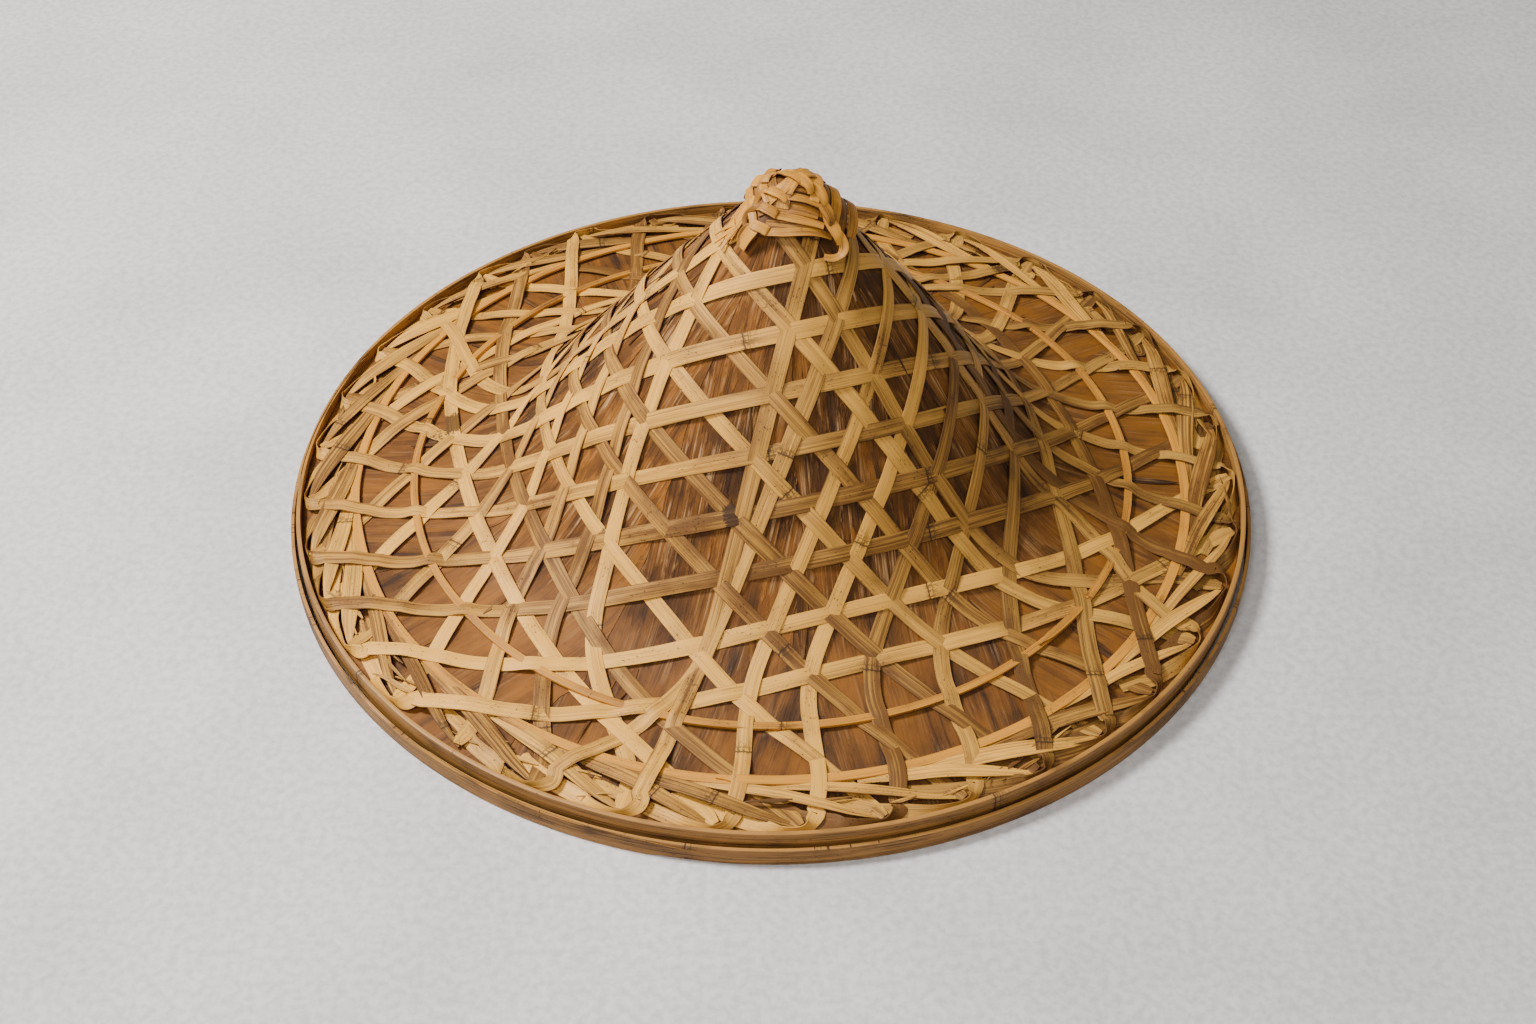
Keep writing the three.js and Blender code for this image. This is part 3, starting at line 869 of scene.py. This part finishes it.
def cap_height(r, azimuth):
    """Height of the cap's base over the leaf layer: 4 mm and 2.4 more near the point, a
    rounded ridge 1 mm higher along each of the four azimuths, and 3.6 mm more towards +X."""
    off = np.stack([r * np.sin(np.radians(azimuth - a)) for a in RIDGES])
    ahead = np.stack([np.cos(np.radians(azimuth - a)) > 0 for a in RIDGES])
    ridge = np.max(np.exp(-(off / 3.0) ** 2) * ahead, axis=0)
    bulk = 3.6 * np.clip(r / 9, 0, 1) * np.clip(np.cos(np.radians(azimuth)), 0, 1)
    return 4.0 + 2.4 * np.exp(-(r / 8) ** 2) + 1.0 * ridge * np.clip(r / 6, 0, 1) + bulk


def cap_strip(grids, table, count, thick, rng, turn, **values):
    """A strip of the cap. Each row is: place ahead of the point along azimuth `turn` (mm in
    plan), place to its left (mm), lift over the cap's base, width and tilt."""
    rows, turn = through(table, count), np.radians(turn)
    x = rows[:, 0] * np.cos(turn) - rows[:, 1] * np.sin(turn)
    y = rows[:, 0] * np.sin(turn) + rows[:, 1] * np.cos(turn)
    r, azimuth = np.hypot(x, y), np.degrees(np.arctan2(y, x))
    centre = on_hat(r, azimuth, cap_height(r, azimuth) + rows[:, 2])
    # painted shade on the strip's side faces
    values["tone"] = values["tone"] + SIDES_PAINTED_SHADE
    sweep(grids, centre, tilted(centre, normal_on_hat(r, azimuth), rows[:, 4]), rows[:, 3],
          thick, rng.uniform(0, PATTERN), **values)


# How a strip wraps a ridge: place to its left, lift and width. It lies flat on the left hand
# side and is tucked in on the other.
KNOT = ((-4.8, -0.6, 3.0), (-3.6, 0.3, 3.8), (-2.3, 1.5, 4.4), (-1.0, 2.2, 4.7), (0.8, 2.1, 4.8),
        (2.4, 2.0, 4.8), (3.7, 1.9, 4.8), (4.3, 1.6, 4.7))
# The pale loop that hangs from its right edge: ahead, to the left, lift, width and tilt.
LOOP = ((0.4, -2.4, 1.5, 2.0, 0), (0.9, -4.0, 1.9, 2.6, -30), (2.4, -5.6, 1.7, 2.8, -50),
        (4.6, -6.2, 1.0, 2.6, -40), (6.6, -5.4, 0.2, 1.6, -20))
# A strip that is folded over like a scale: ahead, to the left, lift, width and tilt.
SCALE = ((-4.4, 0.9, 0.2, 2.5, 0), (-2.4, 0.6, 1.0, 5.0, 8), (0.2, 0.2, 1.9, 6.0, 12),
         (2.8, -0.3, 2.4, 4.8, 10), (4.4, -0.7, 2.0, 3.4, 5), (5.2, -0.9, 1.4, 2.0, 0))


# The loose ends under the ridges: azimuth ahead, then rows as a cap strip's.
CAP_ENDS = (
    (-126, ((16.5, 0.0, 0.9, 5.0, 0), (19.0, -1.2, 1.4, 6.2, 0), (21.5, -2.6, 1.0, 6.2, 0),
            (24.5, -4.2, -0.4, 5.8, 0))),
    (-173, ((11, 1.0, 0.8, 6.0, 0), (15, 2.3, 0.9, 7.5, 0), (19, 4.0, 0.0, 8.5, 0),
            (24, 5.8, -0.6, 9.5, 0))),
    (-173, ((20, 4.6, 0.6, 4.0, 0), (24, 3.2, 0.8, 2.6, 20), (28, 1.6, 0.6, 0.8, 30))),
    (-173, ((20, 5.6, 0.5, 4.0, 0), (25, 5.4, 0.2, 2.4, 10), (29, 5.0, 0.2, 0.8, 20))),
    (-173, ((20, 6.4, 0.3, 4.0, 0), (24, 8.4, 0.2, 2.4, -10), (27, 10.6, 0.5, 0.8, -20))),
    (-43, ((20, 1.6, 1.6, 3.2, 0), (23.5, 1.9, 2.2, 4.0, 20), (26.4, 1.4, 1.9, 4.4, 40),
           (28.2, -0.6, 1.0, 4.4, 50), (27.8, -3.6, 0.0, 4.0, 20), (26.0, -6.0, -1.0, 3.2, 0))),
)


class HAT_OT_tip_cap(bpy.types.Operator):
    """Plaits the cap over the point: slats on its four faces and knots down its ridges"""
    bl_idname = "bamboo_hat.tip_cap"
    bl_label = "Plaited cap"

    def execute(self, context):
        rng = np.random.default_rng(SEED + 5)
        base, slats, knots = Grids(), Grids(), Grids()
        R, A = np.meshgrid(np.linspace(0, 17.5, 22), np.linspace(0, 360, 73), indexing="ij")
        uv = np.stack([np.radians(A) * 12 * MM, R * MM], -1)
        R = R * (1 + 0.16 * np.cos(np.radians(4 * (A + 126))) + 0.08 * np.cos(np.radians(A)))
        top = on_hat(R, A, cap_height(R, A) - 0.5)[:, :-1]
        under = on_hat(R, A, cap_height(R, A) - 1.3)[:, :-1]
        for part, place in ((top, uv), (np.stack([top[-1], under[-1]]), uv[-2:]),
                            (under[::-1], uv[::-1])):
            # the base is painted dark brown as the shade that shows between the slats
            base.add(part, place, closed_across=True, tone=2.6, age=0.3)

        rows = list(FRONT)
        for turn, first, step, count in FACES:
            for k in range(count):
                ahead = first + step * k
                half, skew = min(0.3 + 0.98 * ahead, 13), rng.uniform(0.02, 0.1)
                rows.append((turn, ((ahead - skew * half, -half), (ahead + 0.4, 0),
                                    (ahead + skew * half, half)), step * 1.4,
                             k % 2 == 1 or k == count - 1))
        for turn, places, wide, upper in rows:
            table = [(a, v, (0.9 if upper else 0.0) - 0.5 * max(abs(v) - 11, 0),
                      wide * w, -12 * upper) for (a, v, _, _, _), w in zip(
                through([(*place, 0, 0, 0) for place in places], 6),
                (0.8, 0.95, 1, 1, 0.95, 0.8))]
            # slats that lie under the others are painted darker by 1.2 as shade
            cap_strip(slats, table, 26, 0.55, rng, turn,
                      tone=rng.uniform(-0.5, 0.4) + (0 if upper else 1.2), age=0.1)
        for n, turn in enumerate(RIDGES):
            for k in range(1 if n == 2 else 0, (4, 4, 3, 2)[n]):
                ahead = (0.2, 3.0, 4.5, 5.0)[n] + KNOT_STEP * k
                if n in (0, 3):
                    grow = 0.9 if k == 0 else 1.0
                    cap_strip(knots, [(ahead + rng.uniform(-0.1, 0.1), v * grow, up, w, -13)
                                      for v, up, w in KNOT], 34, 0.6, rng, turn,
                              tone=rng.uniform(-0.7, 0.3), age=0.05)
                    sway = rng.uniform(0.8, 1.15)
                    cap_strip(knots, [(ahead + a, v * sway, up, w, tilt)
                                      for a, v, up, w, tilt in LOOP], 26, 0.5, rng, turn,
                              tone=0.7, age=0.1)
                else:
                    out = (0.4, 2.4, 0.8, -0.3)[k]
                    table = [(max(ahead + a, 0.3), v + out + rng.uniform(-0.2, 0.2),
                              up * (1 if n == 1 else 0.5), w, tilt)
                             for a, v, up, w, tilt in SCALE]
                    cap_strip(knots, table, 30, 0.6, rng, turn, tone=rng.uniform(-0.8, 0.5),
                              age=0.05)
        # the bands over the very point, and the loose ends below the ridges
        for turn, off, up in ((-40, 1.5, 0.9), (50, -2.0, 1.2), (-126, 2.2, 1.5)):
            table = [(x, off + 0.03 * x * x, up - 0.012 * x * x, 6.0, 0)
                     for x in np.linspace(-9, 9, 7)]
            cap_strip(knots, table, 32, 0.6, rng, turn, tone=rng.uniform(-0.8, 0.1), age=0.05)
        for turn, table in CAP_ENDS:
            cap_strip(knots, table, 36, 0.6, rng, turn, tone=rng.uniform(-0.9, 0), age=0.05)
        material = finish("Cap strips", library("Split bamboo"), {
            "Straw": colour(206, 140, 46), "Brown": colour(92, 54, 16), "Specks": 0.2,
            "Roughness": 0.45}, 0.12)
        for name, grids in (("cap_base", base), ("cap_slats", slats), ("cap_knots", knots)):
            finished(grids.build(name, merge=name == "cap_base"), material, "cap_strip",
                     "tip_cap")
        return {"FINISHED"}


RINGS = (       # name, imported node, radius, width, thickness, tone
    ("inner_cane_ring", "inner_ring", INNER_RING, 3.8, 1.7, 0.0),
    ("rim_cane_ring", "rim_ring", 202.5, 4.6, 1.3, -0.7),
)
RING_HEIGHT = 2.1
RING_LAP = 14           # degrees


def ring(grids, rng, radius, width, thick, tone, lap=RING_LAP):
    """A thin split cane laid round the hat at one radius, its ends lapped: it goes round by
    360 degrees and the lap, and one end rises by its thickness over the other."""
    start = rng.uniform(0, 360)
    azimuth = np.linspace(0, 360 + lap, 420)
    rise = thick * np.clip(1 - azimuth / lap, 0, 1) * 0.9
    wander = smooth_noise(rng, azimuth, 14)
    wander = wander * np.clip(np.minimum(azimuth, 360 + lap - azimuth) / 10, 0, 1)
    r = radius + 0.5 * wander
    a = azimuth + start
    tip = np.clip(np.minimum(azimuth, 360 + lap - azimuth) / 2.5, 0.25, 1)
    centre = on_hat(r, a, RING_HEIGHT + rise + 0.15 * smooth_noise(rng, azimuth, 6))
    sweep(grids, centre, normal_on_hat(r, a), width * tip, thick * (0.6 + 0.4 * tip),
          rng.uniform(0, PATTERN), tone=tone, age=0.1)


class HAT_OT_rings(bpy.types.Operator):
    """Lays the two thin split cane rings"""
    bl_idname = "bamboo_hat.rings"
    bl_label = "Cane rings"

    def execute(self, context):
        rng = np.random.default_rng(SEED + 2)
        material = finish("Honey cane", library("Split bamboo"), {
            "Straw": context.scene.hat_colours.honey[:], "Brown": colour(104, 62, 24),
            "Specks": 0.2, "Roughness": 0.36}, 0.08, 0.2)
        for name, node, *sizes in RINGS:
            grids = Grids()
            ring(grids, rng, *sizes)
            finished(grids.build(name), material, "cane", node)
        return {"FINISHED"}


HOOP_SECTION = np.array([
    (-1.0, 0.06), (-0.96, 0.0), (0.96, 0.0), (1.0, 0.06), (1.0, 0.74), (0.96, 0.88), (0.6, 0.98),
    (0.0, 1.0), (-0.6, 0.98), (-0.96, 0.88), (-1.0, 0.74),
])
HOOP_SHADE = np.where(np.abs(HOOP_SECTION[:, 0]) > 0.99, -1.2, 0.3)     # pale cut edges
# name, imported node, outer radius, wall, lower and upper edge, azimuth of one end, lap
HOOPS = (
    ("upper_rim_hoop", "upper_hoop", 231.7, 2.4, 4.9, 16.1, 150, 40),
    ("outer_rim_hoop", "outer_hoop", 235.0, 1.9, 0.3, 9.2, 222, 44),
)


def hoop(grids, rng, outer, wall, low, high, start, lap):
    """A split cane bent into a hoop: a band from `low` to `high` whose skin faces out. Over
    the lap each end thins away, the first end under the second."""
    azimuth = np.linspace(0, 360 + lap, 540)
    first = np.clip(azimuth / lap, 0, 1)
    last = np.clip((360 + lap - azimuth) / lap, 0, 1)
    thick = wall * np.clip(np.minimum(first, last), 0.12, 1)
    r = np.where(first < 1, outer - wall + thick / 2, outer - thick / 2)
    a = np.radians(azimuth + start)
    tip = np.clip(np.minimum(azimuth, 360 + lap - azimuth) / 9, 0.2, 1)
    z = (low + high) / 2 + 0.25 * smooth_noise(rng, azimuth, 25)
    centre = np.stack([r * np.cos(a), r * np.sin(a), z], -1)
    normal = np.stack([np.cos(a), np.sin(a), 0 * a], -1)
    sweep(grids, centre, normal, (high - low) * tip, thick, rng.uniform(0, PATTERN),
          HOOP_SECTION, tone=HOOP_SHADE + 0.4 * smooth_noise(rng, azimuth, 12)[:, None],
          age=0.0)


class HAT_OT_hoops(bpy.types.Operator):
    """Bends the two lapped hoops of the rim"""
    bl_idname = "bamboo_hat.hoops"
    bl_label = "Rim hoops"

    def execute(self, context):
        rng = np.random.default_rng(SEED + 3)
        material = finish("Hoop cane", library("Split bamboo"), {
            "Straw": colour(160, 112, 52), "Brown": colour(58, 35, 14),
            "Specks": 0.6, "Fibre": 0.8, "Roughness": 0.48}, 0.2, 0.05)
        for name, node, *sizes in HOOPS:
            grids = Grids()
            hoop(grids, rng, *sizes)
            finished(grids.build(name), material, "hoop", node)
        return {"FINISHED"}


LIGHTS = (      # name, place and size in metres, share of the key light's power
    ("key_light", (-1.1, 0.1, 1.45), 0.4, 1.0),
    ("front_light", (-0.5, -1.4, 1.6), 0.8, 0.4),
    ("fill_light", (1.3, -0.2, 1.7), 1.6, 0.12),
)
# The photo's camera: what it looks at and from how far, in rim radii, how steeply it looks
# down, and its lens and sensor in millimetres.
CAMERA_TARGET = (-0.0061, -0.0672, 0.0)
CAMERA_DISTANCE = 4.5
CAMERA_DOWN = 42.4
LENS, SENSOR = 50.26, 36.0


class HAT_OT_stage(bpy.types.Operator):
    """Sets the floor, the soft lights and the camera"""
    bl_idname = "bamboo_hat.stage"
    bl_label = "Floor, lights and camera"

    def execute(self, context):
        stage = context.scene.hat_stage
        grids = Grids()
        across = np.linspace(-6000, 6000, 25)
        x, y = np.meshgrid(across, across, indexing="xy")
        grids.add(np.stack([x, y, 0 * x], -1)[::-1], np.stack([x, y], -1)[::-1] * MM)
        floor = grids.build("floor")
        material = bpy.data.materials.new("Plaster floor")
        material.use_nodes = True
        tree = material.node_tree
        tree.nodes.clear()
        place = put(tree, "ShaderNodeTexCoord").outputs["Object"]
        mottle = put(tree, "ShaderNodeTexNoise", {"Vector": place, "Scale": 9.0,
                                                  "Detail": 8.0}).outputs[0]
        grain = put(tree, "ShaderNodeTexNoise", {"Vector": place, "Scale": 260.0,
                                                 "Detail": 3.0}).outputs[0]
        tint = blend(tree, remap(tree, mottle, 0.35, 0.7), stage.floor[:],
                     tuple(0.84 * c for c in stage.floor[:3]) + (1.0,))
        specks = remap(tree, grain, 0.35, 0.62, 0.86, 1.06)
        tint = blend(tree, 1.0, tint, specks, "MULTIPLY")
        bump = put(tree, "ShaderNodeBump", {"Height": grain, "Distance": 0.4 * MM,
                                            "Strength": 0.6})
        shader = put(tree, "ShaderNodeBsdfPrincipled", {
            "Base Color": tint, "Roughness": 0.85, "Normal": bump.outputs[0]})
        put(tree, "ShaderNodeOutputMaterial", {0: shader.outputs[0]})
        floor.data.materials.append(material)

        world = bpy.data.worlds.new("Soft room")
        world.use_nodes = True
        world.node_tree.nodes["Background"].inputs[0].default_value = (1.0, 0.98, 0.96, 1.0)
        world.node_tree.nodes["Background"].inputs[1].default_value = 0.14
        context.scene.world = world
        for name, place, size, share in LIGHTS:
            data = bpy.data.lights.new(name, "AREA")
            data.energy, data.size = stage.key * share, size
            lamp = bpy.data.objects.new(name, data)
            lamp.location = place
            lamp.rotation_euler = aim(place, (0, 0, 0.03))
            context.scene.collection.objects.link(lamp)

        target = np.array(CAMERA_TARGET) * RIM * MM
        down = np.radians(CAMERA_DOWN)
        away = np.array([0, -np.cos(down), np.sin(down)])
        place = target + CAMERA_DISTANCE * RIM * MM * away
        data = bpy.data.cameras.new("photo_camera")
        data.lens, data.sensor_width = LENS, SENSOR
        camera = bpy.data.objects.new("photo_camera", data)
        camera.location = place
        camera.rotation_euler = aim(place, target)
        context.scene.collection.objects.link(camera)
        context.scene.camera = camera
        return {"FINISHED"}


def aim(place, target):
    """The turn that makes a lamp or camera look from its place at the target."""
    return (Vector(target) - Vector(place)).to_track_quat("-Z", "Y").to_euler()


class HAT_PT_panel(bpy.types.Panel):
    """Lists the hat's sizes, colours and pieces"""
    bl_idname = "HAT_PT_panel"
    bl_label = "Bamboo hat"
    bl_space_type = "VIEW_3D"
    bl_region_type = "UI"
    bl_category = "Bamboo hat"

    def draw(self, context):
        for values in (context.scene.hat_sizes, context.scene.hat_colours,
                       context.scene.hat_stage):
            box = self.layout.box()
            for key in values.__annotations__:
                box.prop(values, key)
        for piece in PIECES:
            self.layout.operator(piece.bl_idname)


PIECES = (HAT_OT_leaf_layer, HAT_OT_weave, HAT_OT_splints, HAT_OT_tip_cap, HAT_OT_rings,
          HAT_OT_hoops, HAT_OT_stage)
VALUES = {"hat_sizes": HatSizes, "hat_colours": HatColours, "hat_stage": HatStage}


def register():
    for known in (*VALUES.values(), *PIECES, HAT_PT_panel):
        bpy.utils.register_class(known)
    for name, values in VALUES.items():
        setattr(bpy.types.Scene, name, bpy.props.PointerProperty(type=values))


def unregister():
    for name in VALUES:
        delattr(bpy.types.Scene, name)
    for known in reversed((*VALUES.values(), *PIECES, HAT_PT_panel)):
        bpy.utils.unregister_class(known)


def main():
    register()
    for piece in PIECES:
        area, name = piece.bl_idname.split(".")
        getattr(getattr(bpy.ops, area), name)()


if __name__ == "__main__":
    main()
